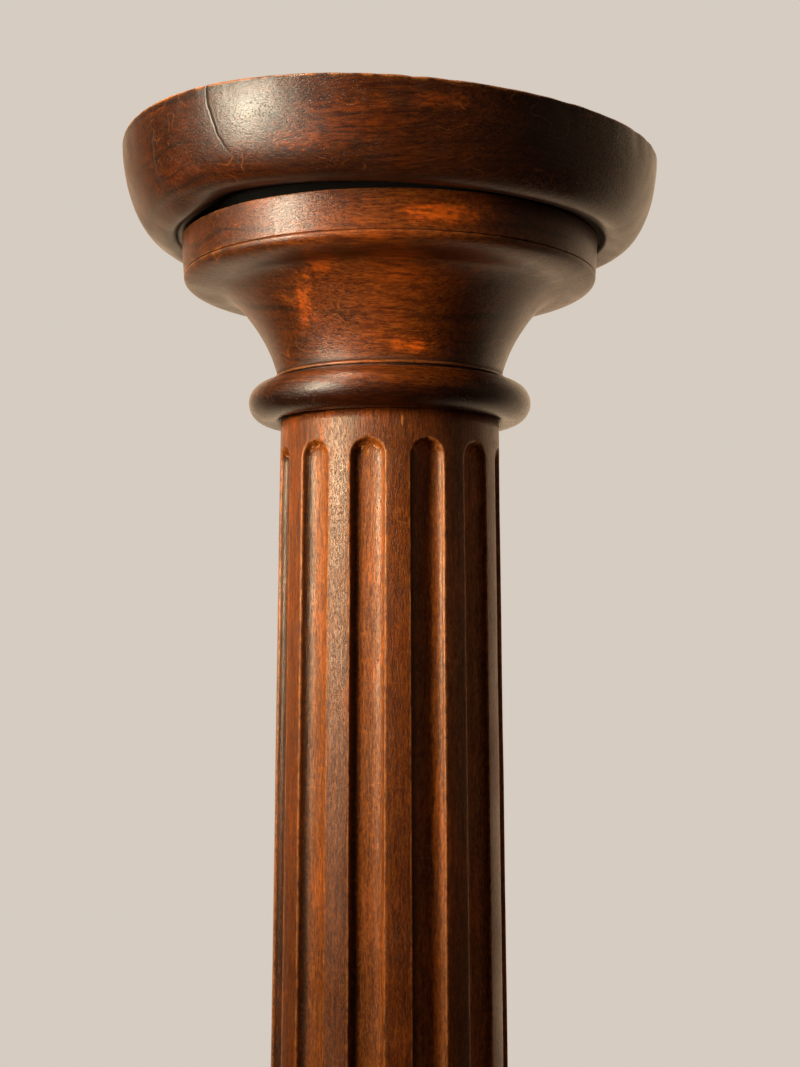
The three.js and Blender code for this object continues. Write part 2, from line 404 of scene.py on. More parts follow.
def turned_mesh(name, radius, height, azimuths, marks):
    """Makes one closed mesh from grids of radius and height, with a row for each outline point and a
    column for each azimuth: x = radius * sin(azimuth), y = -radius * cos(azimuth). The first and last
    rows lie on the axis, and each becomes one point. marks holds grids of values that are kept on the
    mesh as attributes."""
    rows, columns = radius.shape
    grid = np.stack([radius * np.sin(azimuths), -radius * np.cos(azimuths), height], axis=-1)[1:-1]
    foot = (0.0, 0.0, float(height[0].mean()))
    head = (0.0, 0.0, float(height[-1].mean()))
    points = np.concatenate([grid.reshape(-1, 3), [foot, head]])
    inner = (rows - 2) * columns
    index = np.arange(inner).reshape(rows - 2, columns)
    beside = np.roll(index, -1, axis=1)
    quads = np.stack([index[:-1], beside[:-1], beside[1:], index[1:]], axis=-1).reshape(-1, 4)
    foot_fan = np.column_stack([beside[0], index[0], np.full(columns, inner)])
    head_fan = np.column_stack([index[-1], beside[-1], np.full(columns, inner + 1)])
    mesh = bpy.data.meshes.new(name)
    mesh.from_pydata(points.tolist(), [], quads.tolist() + foot_fan.tolist() + head_fan.tolist())
    mesh.polygons.foreach_set("use_smooth", np.ones(len(mesh.polygons), dtype=bool))
    for mark, values in marks.items():
        grid_values = np.broadcast_to(values, radius.shape)
        flat = np.concatenate([grid_values[1:-1].ravel(), [grid_values[0].mean(), grid_values[-1].mean()]])
        attribute = mesh.attributes.new(mark, "FLOAT", "POINT")
        attribute.data.foreach_set("value", flat.astype(np.float32))
    mesh.validate()
    mesh.update()
    return mesh


def place_piece(name, mesh, material, node):
    """Adds a finished mesh to the scene in the place of a frame node."""
    if not mesh.polygons:
        raise RuntimeError(f"{name} has no faces")
    piece = bpy.data.objects.new(name, mesh)
    bpy.context.scene.collection.objects.link(piece)
    mesh.materials.append(material)
    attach(piece, "root")
    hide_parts(node)


def edge_marks(bend, spread_rows=2):
    """Wear where the outline turns sharply outwards, and wax where it turns inwards, which also darkens
    the crease as painted shade, each between 0 and 1 and spread over the rows beside it."""
    sharp = np.clip(bend * 1.1 * MM, -1, 1)
    spread = np.ones(2 * spread_rows + 1) / (2 * spread_rows + 1)
    wear = np.convolve(np.maximum(sharp, 0), spread, "same")
    wax = np.convolve(np.maximum(-sharp, 0), spread, "same")
    return wear[:, None], wax[:, None]


def block_mesh(name, block, shaft_radius, end_height, direction, seed):
    """A turned block. direction is 1 for the capital, whose outline rises from the shaft's end, and -1
    for the base, whose outline goes down from it. A thin unevenness keeps the turning from looking
    mechanical. The marks are wear, wax that is also painted crease shade, the hollow where the band's
    face is hidden and the ring, which the capital's material darkens: the hollow and the ring's lower
    half as painted shade."""
    outline = flared_block_outline(block, shaft_radius)
    ovolo_foot = outline[:, 1].max() - block.band_height - block.quirk_width - block.ovolo_height
    junction = (block.band_radius - block.band_taper - block.ovolo_width, end_height + direction * ovolo_foot)
    outline[:, 1] = end_height + direction * outline[:, 1]
    if direction < 0:
        outline = outline[::-1]
    ring_face = shaft_radius - 4 * MM
    band_face = block.band_radius - 4 * MM
    quiet_start, quiet_end = (ring_face, band_face) if direction > 0 else (band_face, ring_face)
    soft = soften_outline(outline, 0.25 * MM, [(junction, block.junction_softness)])
    rows, bend, _ = pick_rows(soft, BLOCK_ROWS, quiet_start, quiet_end)
    azimuths = crowded_azimuths(BLOCK_COLUMNS)
    wear, wax = edge_marks(bend)
    out_of_true = smooth_step(0.5 * shaft_radius, shaft_radius, rows[:, :1])
    uneven = ripples(azimuths, rows[:, 1:], seed, most_cycles=5, shortest_wave=9 * MM)
    radius = rows[:, :1] + 0.07 * MM * uneven * out_of_true
    height = rows[:, 1:] + 0 * azimuths
    face_height = outline[0 if direction < 0 else -1, 1]
    inside_band = smooth_step(-0.5 * MM, -2 * MM, rows[:, :1] - block.band_radius)
    from_ring = direction * (rows[:, 1:] - end_height) - block.ring_rise
    whole_ring = smooth_step(block.ring_section + 1 * MM, block.ring_section - 2 * MM, from_ring)
    marks = {
        "wear": wear,
        "wax": wax,
        # Painted shade on the band's upper face, hidden under the top
        "hollow": (np.abs(rows[:, 1:] - face_height) < 0.2 * MM) * inside_band,
        # The ring is a little darker all over, and its lower half much darker as painted shade under it
        "ring": 0.2 * whole_ring + 0.75 * smooth_step(4 * MM, -4 * MM, from_ring),
    }
    return turned_mesh(name, radius, height, azimuths, marks)


def plinth_mesh(name, plinth):
    """The round plinth, with a softly knocked upper edge."""
    rows, bend, _ = pick_rows(soften_outline(plinth_outline(plinth), 0.7 * MM), PLINTH_ROWS,
                              plinth.radius - 6 * MM, plinth.radius - plinth.edge_width - 6 * MM)
    azimuths = crowded_azimuths(PLINTH_COLUMNS)
    wear, wax = edge_marks(bend)
    curved = smooth_step(0.6 * plinth.radius, 0.9 * plinth.radius, rows[:, :1])
    above_floor = smooth_step(0, 3 * plinth.foot_chamfer, rows[:, 1:])
    uneven = ripples(azimuths, rows[:, 1:], seed=31, most_cycles=9, shortest_wave=14 * MM)
    radius = rows[:, :1] - 0.12 * MM * (1 + uneven) * curved * above_floor
    return turned_mesh(name, radius, rows[:, 1:] + 0 * azimuths, azimuths, {"wear": wear, "wax": wax})


def shaft_mesh(name, shaft, low, high):
    """The tapered shaft with its flutes. At a share u of the flute's half width, measured across it and,
    past the end of its straight part, around that end, the flute is depth * (1 - u^p)^(1/p) deep: a
    superellipse of power p, with steep walls and a round floor. Outside the flute that depth goes on
    below zero, and the cut is blended with zero so that the arris is slightly round."""
    outline = np.array([(0, low), (shaft.foot_radius, low), (shaft.top_radius, high), (0, high)])
    full_length = high - low
    flute_ends = [end + side * (shaft.flute_end_margin + shaft.flute_width / 2)
                  for end, side in ((low, 1), (high, -1))]
    windows = [(end, shaft.flute_width * 0.85, 9.0) for end in flute_ends]
    rows, bend, _ = pick_rows(soften_outline(outline, 0.3 * MM), SHAFT_ROWS,
                              shaft.foot_radius - 2 * MM, shaft.top_radius - 2 * MM, windows)
    pitch = FULL_TURN / shaft.flute_count
    half_angle = shaft.flute_width / (shaft.foot_radius + shaft.top_radius)
    within = np.linspace(-pitch / 2, pitch / 2, 2001)
    density = 1 + 4.5 * np.exp(-0.5 * ((np.abs(within) - half_angle) / (0.09 * half_angle)) ** 2)
    density += 0.5 * (np.abs(within) < half_angle)
    share = np.concatenate([[0.0], np.cumsum((density[1:] + density[:-1]) / 2)])
    one_flute = np.interp(np.arange(FLUTE_COLUMNS) * share[-1] / FLUTE_COLUMNS, share, within)
    middles = shaft.first_flute + np.arange(shaft.flute_count) * pitch
    azimuths = (middles[:, None] + one_flute).ravel()
    from_middle = np.tile(one_flute, shaft.flute_count)
    flute_number = np.repeat(np.arange(shaft.flute_count), FLUTE_COLUMNS)

    half_width = shaft.flute_width / 2
    heights = rows[:, 1:]
    cone = np.interp(heights, [low, high], [shaft.foot_radius, shaft.top_radius])
    gouge = shaft.gouge_depth * ripples(1.7 * flute_number + 0 * heights, heights, seed=5, most_cycles=9,
                                        shortest_wave=24 * MM)
    half_straight = full_length / 2 - shaft.flute_end_margin - half_width
    past_end = np.maximum(np.abs(heights - (low + high) / 2) - half_straight, 0)
    across = np.hypot(cone * np.sin(from_middle), past_end) / half_width
    power = shaft.flute_power
    inside = (shaft.flute_depth - gouge) * np.maximum(1 - across**power, 0) ** (1 / power)
    apart = np.where(across < 1, inside, (1 - across) * half_width)
    softness = shaft.arris_softness
    cut = np.maximum((np.sqrt(apart**2 + softness**2) + apart) / 2, 0)
    on_side = smooth_step(0.5, 0.9, rows[:, :1] / cone)
    uneven = 0.06 * MM * ripples(azimuths, heights, seed=17, most_cycles=7, shortest_wave=40 * MM)
    radius = rows[:, :1] + (uneven - cut) * on_side
    arris = np.exp(-0.5 * (apart / (0.8 * MM)) ** 2) * on_side
    end_wear, _ = edge_marks(bend)
    depth_share = np.clip(apart / shaft.flute_depth, 0, 1)
    sideways = from_middle / half_angle
    near_end = smooth_step(-0.2 * half_width, 0.75 * half_width, past_end)
    marks = {
        "wear": np.maximum(arris, 0.6 * end_wear),
        # Wax, also painted shade, darkens the flutes a little with their depth
        "wax": 0.08 * depth_share * on_side,
        # The next two marks are painted light and painted shade: each flute's floor and right wall are
        # lighter, its steep left wall darker.
        "faded": smooth_step(0.05, 0.45, depth_share) * on_side * smooth_step(-0.75, -0.35, sideways),
        "shaded": smooth_step(0.1, 0.5, depth_share) * on_side * smooth_step(-0.5, -0.85, sideways),
        "flute_end": near_end * smooth_step(0.1, 0.5, depth_share),
    }
    height = heights + 0 * azimuths
    return turned_mesh(name, radius, height, azimuths, marks)


def warp_lift(top, x, y):
    """How far the warp lifts the board: a lean, which grows with the distance towards the high side, and
    a cup, which grows with the square of the distance from the line across it. Both fade out towards the
    flat middle."""
    radius = np.hypot(x, y)
    azimuth = np.arctan2(x, -y)
    lean = math.tan(top.lean_angle) * radius * np.cos(azimuth - top.lean_azimuth)
    across = radius * np.cos(azimuth - top.cup_azimuth) / top.radius
    fade = smooth_step(top.flat_radius, top.radius - top.warp_margin, radius)
    return (lean + top.cup_rise * across**2) * fade


def crack_shape(top, x, y, height):
    """The drying crack follows the grain: it is a groove where the surface meets an upright plane
    parallel to X, on the left alone and deepest at the rim. Its section is a bell, and the wood in front
    of it stands a little proud. Returns how open it is, each point's distance from it in half widths, and
    how far it pushes the surface outwards."""
    wander = 0.22 * MM * np.sin(height / (3.1 * MM))
    wander = wander + 0.10 * MM * np.sin(height / (1.1 * MM) + 1.1)
    from_crack = y + top.crack_place + wander
    on_left = smooth_step(-0.050, -0.060, x)
    above_foot = smooth_step(2 * MM, 7 * MM, height)
    towards_rim = smooth_step(8 * MM, 40 * MM, height)
    opening = on_left * (0.45 * above_foot + 0.55 * towards_rim)
    half_width = top.crack_width * (0.5 + 0.5 * opening) / 2
    groove = top.crack_depth * opening * np.exp(-0.5 * (from_crack / half_width) ** 2)
    in_front = from_crack < 0
    proud = top.crack_step * opening * in_front * np.exp(from_crack / (14 * MM))
    return opening, np.abs(from_crack) / half_width, proud - groove


def rim_knocks(top, azimuths, radius, height):
    """The unevenness of the upper rim, and a few small nicks in it, each a bell around the rim."""
    rim = smooth_step(0.55 * top.thickness, top.thickness, height)
    rim = rim * smooth_step(0.9, 0.97, radius / top.radius)
    knocks = 0.16 * MM * ripples(azimuths, height, seed=23, most_cycles=70, shortest_wave=20 * MM) * rim
    nick_count = 9
    draw = np.random.default_rng(41)
    places = draw.uniform(-math.pi, math.pi, nick_count)
    widths = draw.uniform(0.006, 0.014, nick_count)
    depths = draw.uniform(0.12, 0.38, nick_count)
    for place, width, depth in zip(places, widths, depths):
        turned_by = np.angle(np.exp(1j * (azimuths - place)))
        knocks = knocks - depth * MM * np.exp(-0.5 * (turned_by / width) ** 2) * rim
    return np.minimum(knocks, 0.1 * MM)


def closed_share(top, recess, azimuths, radius):
    """Where, on the left, the underside has stayed down on the capital, so that the gap between them
    closes: 1 beyond the closed azimuth and around the recess's edge, and 0 elsewhere."""
    closed = smooth_step(top.closed_azimuth + 12 * DEGREE, top.closed_azimuth - 12 * DEGREE, azimuths)
    closed = closed * smooth_step(-170 * DEGREE, -140 * DEGREE, azimuths)
    closed = closed * smooth_step(top.flat_radius, recess - 4 * MM, radius)
    return closed * smooth_step(recess + 15 * MM, recess + 3 * MM, radius)


def top_mesh(name, top, band_radius, seat_height):
    """The round top: its outline turned, with the crack, the knocks and a slight unevenness pushed along
    its outward direction, and then warped. Two marks give the material the crack's opening and each
    point's distance from it."""
    soft = soften_outline(top_outline(top, band_radius), 0.35 * MM)
    rows, bend, faces = pick_rows(soft, TOP_ROWS, top.flat_radius - 14 * MM, top.flat_radius,
                                  [(top.thickness, 0.4 * MM, 0.6)])
    crack_azimuth = -math.acos(top.crack_place / (top.radius - 3 * MM))
    azimuths = crowded_azimuths(TOP_COLUMNS, [(crack_azimuth + 0.02, 0.055, 9.0)])
    plain_radius = rows[:, :1] + 0 * azimuths
    plain_height = rows[:, 1:] + 0 * azimuths
    x = plain_radius * np.sin(azimuths)
    y = -plain_radius * np.cos(azimuths)

    opening, crack_away, crack_push = crack_shape(top, x, y, plain_height)
    knocks = rim_knocks(top, azimuths, plain_radius, plain_height)
    uneven = 0.1 * MM * ripples(azimuths, plain_height, seed=11, most_cycles=6, shortest_wave=18 * MM)
    outside = smooth_step(top.flat_radius, top.radius - 20 * MM, plain_radius)
    push = crack_push + (knocks + uneven) * outside
    radius = plain_radius + push * faces[:, :1]
    height = plain_height + push * faces[:, 1:]

    recess = band_radius + top.recess_clearance
    underside = plain_height < top.thickness / 2
    closed = closed_share(top, recess, azimuths, plain_radius) * underside
    lift = warp_lift(top, radius * np.sin(azimuths), -radius * np.cos(azimuths))
    height = seat_height + height + lift * (1 - 0.85 * closed)
    wear, wax = edge_marks(bend)
    # Painted shade on the underside around the seat, in the gap over the capital, weaker where it closes
    hidden = smooth_step(recess + 3.5 * MM, recess - 0.5 * MM, plain_radius) * underside
    marks = {
        "wear": wear,
        "wax": wax,
        "hollow": hidden * (1 - 0.9 * closed),
        "crack_open": np.minimum(2.6 * opening, 1),
        "crack_away": np.minimum(crack_away, 40),
    }
    return turned_mesh(name, radius, height, azimuths, marks)


# Node trees

def place_node(tree, kind, inputs=None, **settings):
    """Adds a node and fills its inputs with plain values, or with links where a socket is given."""
    made = tree.nodes.new(kind)
    for name, value in settings.items():
        setattr(made, name, value)
    for key, value in (inputs or {}).items():
        if isinstance(value, bpy.types.NodeSocket):
            tree.links.new(value, made.inputs[key])
        else:
            made.inputs[key].default_value = value
    return made


def calculate(tree, operation, *values, clamp=False):
    inputs = dict(enumerate(values))
    return place_node(tree, "ShaderNodeMath", inputs, operation=operation, use_clamp=clamp).outputs[0]


def calculate_vector(tree, operation, *values):
    return place_node(tree, "ShaderNodeVectorMath", dict(enumerate(values)), operation=operation)


def remap(tree, value, low, high, to_low=0.0, to_high=1.0):
    """Carries low..high to to_low..to_high along a smooth step."""
    inputs = {"Value": value, "From Min": low, "From Max": high, "To Min": to_low, "To Max": to_high}
    return place_node(tree, "ShaderNodeMapRange", inputs, interpolation_type="SMOOTHSTEP").outputs["Result"]


def mix_colour(tree, share, first, second, blend="MIX"):
    made = place_node(tree, "ShaderNodeMix", data_type="RGBA", blend_type=blend)
    for socket, value in ((made.inputs[0], share), (made.inputs[6], first), (made.inputs[7], second)):
        if isinstance(value, bpy.types.NodeSocket):
            tree.links.new(value, socket)
        elif isinstance(value, (float, int)):
            socket.default_value = value
        else:
            socket.default_value = (*value, 1.0)
    return made.outputs[2]


def noise(tree, position, scale, detail=2.0, roughness=0.55):
    inputs = {"Vector": position, "Scale": scale, "Detail": detail, "Roughness": roughness}
    return place_node(tree, "ShaderNodeTexNoise", inputs)


def begin_group(name, inputs, outputs):
    """Starts a node group. inputs are (name, socket type, default) and outputs are (name, socket
    type)."""
    group = bpy.data.node_groups.new(name, "ShaderNodeTree")
    for label, kind, default in inputs:
        socket = group.interface.new_socket(label, in_out="INPUT", socket_type=kind)
        if default is not None:
            socket.default_value = default
    for label, kind in outputs:
        group.interface.new_socket(label, in_out="OUTPUT", socket_type=kind)
    entry = place_node(group, "NodeGroupInput")
    leave = place_node(group, "NodeGroupOutput")
    return group, entry.outputs, leave.inputs


def use_group(tree, group, **inputs):
    """Places a group in a material; an input's spaces are written as underscores."""
    made = place_node(tree, "ShaderNodeGroup", node_tree=group)
    for name, value in inputs.items():
        socket = made.inputs[name.replace("_", " ").capitalize()]
        if isinstance(value, bpy.types.NodeSocket):
            tree.links.new(value, socket)
        else:
            socket.default_value = value
    return made.outputs


def grain_group():
    """Solid hardwood grain that runs along X: growth rings around a pith line, fibres drawn out along the
    grain, and broad clouds of figure."""
    group, entry, leave = begin_group(
        "hardwood grain",
        [("Position", "NodeSocketVector", None), ("Pith across", "NodeSocketFloat", 0.2),
         ("Pith up", "NodeSocketFloat", -0.3), ("Rings per metre", "NodeSocketFloat", 260.0)],
        [("Rings", "NodeSocketFloat"), ("Fibres", "NodeSocketFloat"), ("Clouds", "NodeSocketFloat")])
    drawn_out = calculate_vector(group, "MULTIPLY", entry["Position"], (0.28, 1.0, 1.0)).outputs[0]
    sway = noise(group, drawn_out, 9.0, 2.0).outputs["Color"]
    centred = calculate_vector(group, "SUBTRACT", sway, (0.5, 0.5, 0.5)).outputs[0]
    shift = calculate_vector(group, "SCALE", centred)
    shift.inputs["Scale"].default_value = 0.05
    moved = calculate_vector(group, "ADD", drawn_out, shift.outputs[0]).outputs[0]
    parts = place_node(group, "ShaderNodeSeparateXYZ", {"Vector": moved}).outputs
    across = calculate(group, "SUBTRACT", parts["Y"], entry["Pith across"])
    up = calculate(group, "SUBTRACT", parts["Z"], entry["Pith up"])
    from_pith = calculate(group, "SQRT", calculate(group, "ADD", calculate(group, "MULTIPLY", across, across),
                                                   calculate(group, "MULTIPLY", up, up)))
    ring_place = calculate(group, "MULTIPLY", from_pith, entry["Rings per metre"])
    rings = place_node(group, "ShaderNodeTexNoise", {"W": ring_place, "Scale": 1.0, "Detail": 3.0,
                                                     "Roughness": 0.62}, noise_dimensions="1D")
    group.links.new(rings.outputs[0], leave["Rings"])
    fibre_place = calculate_vector(group, "MULTIPLY", moved, (210.0, 620.0, 620.0)).outputs[0]
    group.links.new(noise(group, fibre_place, 1.0, 4.0, 0.68).outputs[0], leave["Fibres"])
    cloud_place = calculate_vector(group, "MULTIPLY", moved, (70.0, 46.0, 46.0)).outputs[0]
    group.links.new(noise(group, cloud_place, 1.0, 5.0, 0.66).outputs[0], leave["Clouds"])
    return group


def pore_group():
    """Open pores: narrow cells drawn out along X, dark where the surface cuts them, gathered in
    patches."""
    group, entry, leave = begin_group(
        "open pores",
        [("Position", "NodeSocketVector", None), ("Across per metre", "NodeSocketFloat", 1250.0),
         ("Along per metre", "NodeSocketFloat", 400.0), ("Cover", "NodeSocketFloat", 0.56)],
        [("Pores", "NodeSocketFloat")])
    stretch = place_node(group, "ShaderNodeCombineXYZ", {"X": entry["Along per metre"],
                                                         "Y": entry["Across per metre"],
                                                         "Z": entry["Across per metre"]}).outputs[0]
    place = calculate_vector(group, "MULTIPLY", entry["Position"], stretch).outputs[0]
    cells = place_node(group, "ShaderNodeTexVoronoi", {"Vector": place, "Scale": 1.0}).outputs["Distance"]
    dots = remap(group, cells, 0.34, 0.10)
    patch_place = calculate_vector(group, "MULTIPLY", entry["Position"], (22.0, 90.0, 90.0)).outputs[0]
    patches = noise(group, patch_place, 1.0, 2.0).outputs[0]
    edge = calculate(group, "SUBTRACT", 1.0, entry["Cover"])
    shown = remap(group, calculate(group, "SUBTRACT", patches, edge), -0.12, 0.12)
    group.links.new(calculate(group, "MULTIPLY", dots, shown), leave["Pores"])
    return group


def wear_group():
    """Worn arrises: the mesh's wear, broken up so that the finish is rubbed off in places."""
    group, entry, leave = begin_group(
        "worn edges",
        [("Position", "NodeSocketVector", None), ("Wear", "NodeSocketFloat", 0.0)],
        [("Mask", "NodeSocketFloat")])
    broken = noise(group, entry["Position"], 160.0, 3.0, 0.65).outputs[0]
    rubbed = calculate(group, "MULTIPLY", entry["Wear"], remap(group, broken, 0.32, 0.66, 0.25, 1.0))
    group.links.new(remap(group, rubbed, 0.08, 0.75), leave["Mask"])
    return group


def crease_wax_and_shade_group():
    """Old wax and dust in creases, with painted shade there too, heavier in some places than in others."""
    group, entry, leave = begin_group(
        "wax in creases",
        [("Position", "NodeSocketVector", None), ("Wax", "NodeSocketFloat", 0.0)],
        [("Mask", "NodeSocketFloat")])
    patchy = noise(group, entry["Position"], 60.0, 2.0).outputs[0]
    laid = calculate(group, "MULTIPLY", entry["Wax"], remap(group, patchy, 0.25, 0.7, 0.7, 1.35))
    group.links.new(remap(group, laid, 0.03, 0.7), leave["Mask"])
    return group


def polish_group():
    """A hand-rubbed polish: broad smears and fine scratches that change the gloss a little, the small
    pits of grain that was never filled, and pale specks between them."""
    group, entry, leave = begin_group(
        "rubbed polish",
        [("Position", "NodeSocketVector", None)],
        [("Smears", "NodeSocketFloat"), ("Scratches", "NodeSocketFloat"), ("Pits", "NodeSocketFloat"),
         ("Specks", "NodeSocketFloat")])
    smears = noise(group, entry["Position"], 24.0, 3.0, 0.6).outputs[0]
    group.links.new(remap(group, smears, 0.3, 0.7), leave["Smears"])
    fine_place = calculate_vector(group, "MULTIPLY", entry["Position"], (160.0, 1500.0, 1500.0)).outputs[0]
    group.links.new(noise(group, fine_place, 1.0, 1.0).outputs[0], leave["Scratches"])
    pit_place = calculate_vector(group, "MULTIPLY", entry["Position"], (340.0, 1250.0, 1250.0)).outputs[0]
    pitted = noise(group, pit_place, 1.0, 2.0, 0.6).outputs[0]
    group.links.new(remap(group, pitted, 0.52, 0.60), leave["Pits"])
    group.links.new(remap(group, pitted, 0.46, 0.38), leave["Specks"])
    return group


def scratch_group():
    """Fine curling scratches, light and dark: thin strips where a smooth noise is near its middle value,
    shown only in some patches."""
    group, entry, leave = begin_group(
        "fine scratches",
        [("Position", "NodeSocketVector", None)],
        [("Light", "NodeSocketFloat"), ("Dark", "NodeSocketFloat")])
    flat_place = calculate_vector(group, "MULTIPLY", entry["Position"], (0.55, 1.0, 1.0)).outputs[0]
    for output, scale, patch_scale, thin in (("Light", 84.0, 37.0, 0.012), ("Dark", 105.0, 33.0, 0.010)):
        smooth = noise(group, flat_place, scale, 1.0, 0.3).outputs[0]
        away = calculate(group, "ABSOLUTE", calculate(group, "SUBTRACT", smooth, 0.5))
        line = remap(group, away, thin, 0.3 * thin)
        patches = remap(group, noise(group, entry["Position"], patch_scale, 2.0).outputs[0], 0.52, 0.60)
        group.links.new(calculate(group, "MULTIPLY", line, patches), leave[output])
    return group


def hairline_group():
    """A short hairline crack in the grain: near a plane that is parallel to X and may lean, between two
    heights and two places along X, with a slight wander."""
    group, entry, leave = begin_group(
        "hairline crack",
        [("Position", "NodeSocketVector", None), ("Middle", "NodeSocketVector", None),
         ("Reach", "NodeSocketVector", None), ("Lean", "NodeSocketFloat", 0.0),
         ("Width", "NodeSocketFloat", 0.4 * MM)],
        [("Mask", "NodeSocketFloat")])
    from_middle = calculate_vector(group, "SUBTRACT", entry["Position"], entry["Middle"]).outputs[0]
    parts = place_node(group, "ShaderNodeSeparateXYZ", {"Vector": from_middle}).outputs
    reach = place_node(group, "ShaderNodeSeparateXYZ", {"Vector": entry["Reach"]}).outputs
    wander = calculate(group, "SUBTRACT", noise(group, entry["Position"], 110.0, 3.0).outputs[0], 0.5)
    leaned = calculate(group, "MULTIPLY_ADD", parts["Z"], entry["Lean"], parts["Y"])
    across = calculate(group, "ABSOLUTE", calculate(group, "MULTIPLY_ADD", wander, 0.003, leaned))
    line = remap(group, calculate(group, "DIVIDE", across, entry["Width"]), 1.0, 0.25)
    for axis in ("X", "Z"):
        share = calculate(group, "DIVIDE", calculate(group, "ABSOLUTE", parts[axis]), reach[axis])
        line = calculate(group, "MULTIPLY", line, remap(group, share, 1.0, 0.6))
    group.links.new(line, leave["Mask"])
    return group


def patch_group():
    """A soft-edged patch around a point, broken up by noise, for places where the figure glows."""
    group, entry, leave = begin_group(
        "glowing patch",
        [("Position", "NodeSocketVector", None), ("Middle", "NodeSocketVector", None),
         ("Reach", "NodeSocketVector", None)],
        [("Mask", "NodeSocketFloat")])
    from_middle = calculate_vector(group, "SUBTRACT", entry["Position"], entry["Middle"]).outputs[0]
    shares = calculate_vector(group, "DIVIDE", from_middle, entry["Reach"]).outputs[0]
    distance = calculate_vector(group, "LENGTH", shares).outputs["Value"]
    ragged = noise(group, entry["Position"], 130.0, 4.0, 0.65).outputs[0]
    ragged_distance = calculate(group, "MULTIPLY_ADD", ragged, 1.8, distance)
    group.links.new(remap(group, ragged_distance, 1.75, 1.15), leave["Mask"])
    return group


def shared_groups():
    """The node groups by name, each made once."""
    makers = {"hardwood grain": grain_group, "open pores": pore_group, "worn edges": wear_group,
              "wax in creases": crease_wax_and_shade_group, "rubbed polish": polish_group, "fine scratches": scratch_group,
              "hairline crack": hairline_group, "glowing patch": patch_group}
    return {name: bpy.data.node_groups.get(name) or make() for name, make in makers.items()}


# Materials

# Depth of the bump where a material's relief is 1
BUMP_DEPTH = 0.5 * MM

# What the base colour is multiplied by where the mesh holds a mark of one of these kinds. On the
# shaft, light is painted light on the flutes' floors and right walls and stained is painted shade on
# their steep left walls; deep darkens the capital's ring, and on its lower half it is painted shade.
MARK_TINTS = {"stained": (0.30, 0.28, 0.26), "deep": (0.17, 0.125, 0.08), "light": (1.52, 1.68, 1.6)}


def mark_value(tree, mark):
    """The value of a mark that the mesh holds as an attribute."""
    return place_node(tree, "ShaderNodeAttribute", attribute_name=mark).outputs["Fac"]


def lay_over(tree, base, mask, strength, colour):
    """Lays a colour over the base by a mask times a strength."""
    return mix_colour(tree, calculate(tree, "MULTIPLY", mask, strength), base, colour)


def stain_over(tree, base, mask, tint):
    """Multiplies the base by a tint, by the share that a mask gives."""
    return mix_colour(tree, mask, base, tint, blend="MULTIPLY")


def figured_colour(tree, colours, grain, polish, ring_contrast, patchiness, streak_share, tone):
    """The wood's figure: growth rings, pale and dark fibres, fine dark streaks and patches that took more
    stain, all toned for the piece."""
    ring_share = remap(tree, grain["Rings"], 0.22, 0.72, 1 - ring_contrast, 1.0)
    base = mix_colour(tree, ring_share, colours["dark"], colours["middle"])
    base = lay_over(tree, base, remap(tree, grain["Fibres"], 0.36, 0.68), 0.40, colours["pale"])
    dark_fibres = remap(tree, grain["Fibres"], 0.46, 0.32, 0.0, 0.55)
    base = mix_colour(tree, dark_fibres, base, colours["dark"])
    streaks = remap(tree, polish["Scratches"], 0.48, 0.38, 0.0, streak_share)
    base = mix_colour(tree, streaks, base, colours["dark"])
    stained_patches = remap(tree, grain["Clouds"], 0.48, 0.28, 0.0, patchiness)
    base = stain_over(tree, base, stained_patches, (0.42, 0.38, 0.34))
    return stain_over(tree, base, 1.0, tone)


def glowing_colour(tree, base, colours, grain, patch_group, place, glow_places, glow_share):
    """Figure that glows through the stain: in some of the clouds, and in each place (middle, reach,
    strength)."""
    glow = calculate(tree, "MULTIPLY", remap(tree, grain["Clouds"], 0.48, 0.78), glow_share)
    for middle, reach, strength in glow_places:
        patch = use_group(tree, patch_group, position=place, middle=middle, reach=reach)["Mask"]
        glow = calculate(tree, "MULTIPLY_ADD", patch, strength, glow, clamp=True)
    glow = calculate(tree, "MULTIPLY", glow, remap(tree, grain["Fibres"], 0.34, 0.62, 0.1, 1.0))
    return mix_colour(tree, glow, base, colours["flame"])


def end_grain_colour(tree, base, colours, grain, place, end_grain_tone):
    """Darkens the end grain, which takes more stain, and draws dark ring lines on it. A turned piece
    shows it by the square of x over the distance from the axis, because the grain runs along X."""
    level = calculate_vector(tree, "MULTIPLY", place, (1.0, 1.0, 0.0)).outputs[0]
    outward = calculate_vector(tree, "NORMALIZE", level).outputs[0]
    along_grain = place_node(tree, "ShaderNodeSeparateXYZ", {"Vector": outward}).outputs["X"]
    shown = remap(tree, calculate(tree, "MULTIPLY", along_grain, along_grain), 0.06, 0.62)
    base = stain_over(tree, base, shown, (end_grain_tone, end_grain_tone, end_grain_tone))
    dark_rings = remap(tree, grain["Rings"], 0.46, 0.34, 0.0, 0.6)
    return lay_over(tree, base, shown, dark_rings, colours["pore"])


def fill_dirt_and_shade(tree, surface, mask, strength, colours):
    """Fills a crack with old dirt, or a hidden hollow with painted shade, each dark and dull."""
    surface["base"] = lay_over(tree, surface["base"], mask, strength, colours["pore"])
    surface["dulled"] = calculate(tree, "MAXIMUM", surface["dulled"], mask)


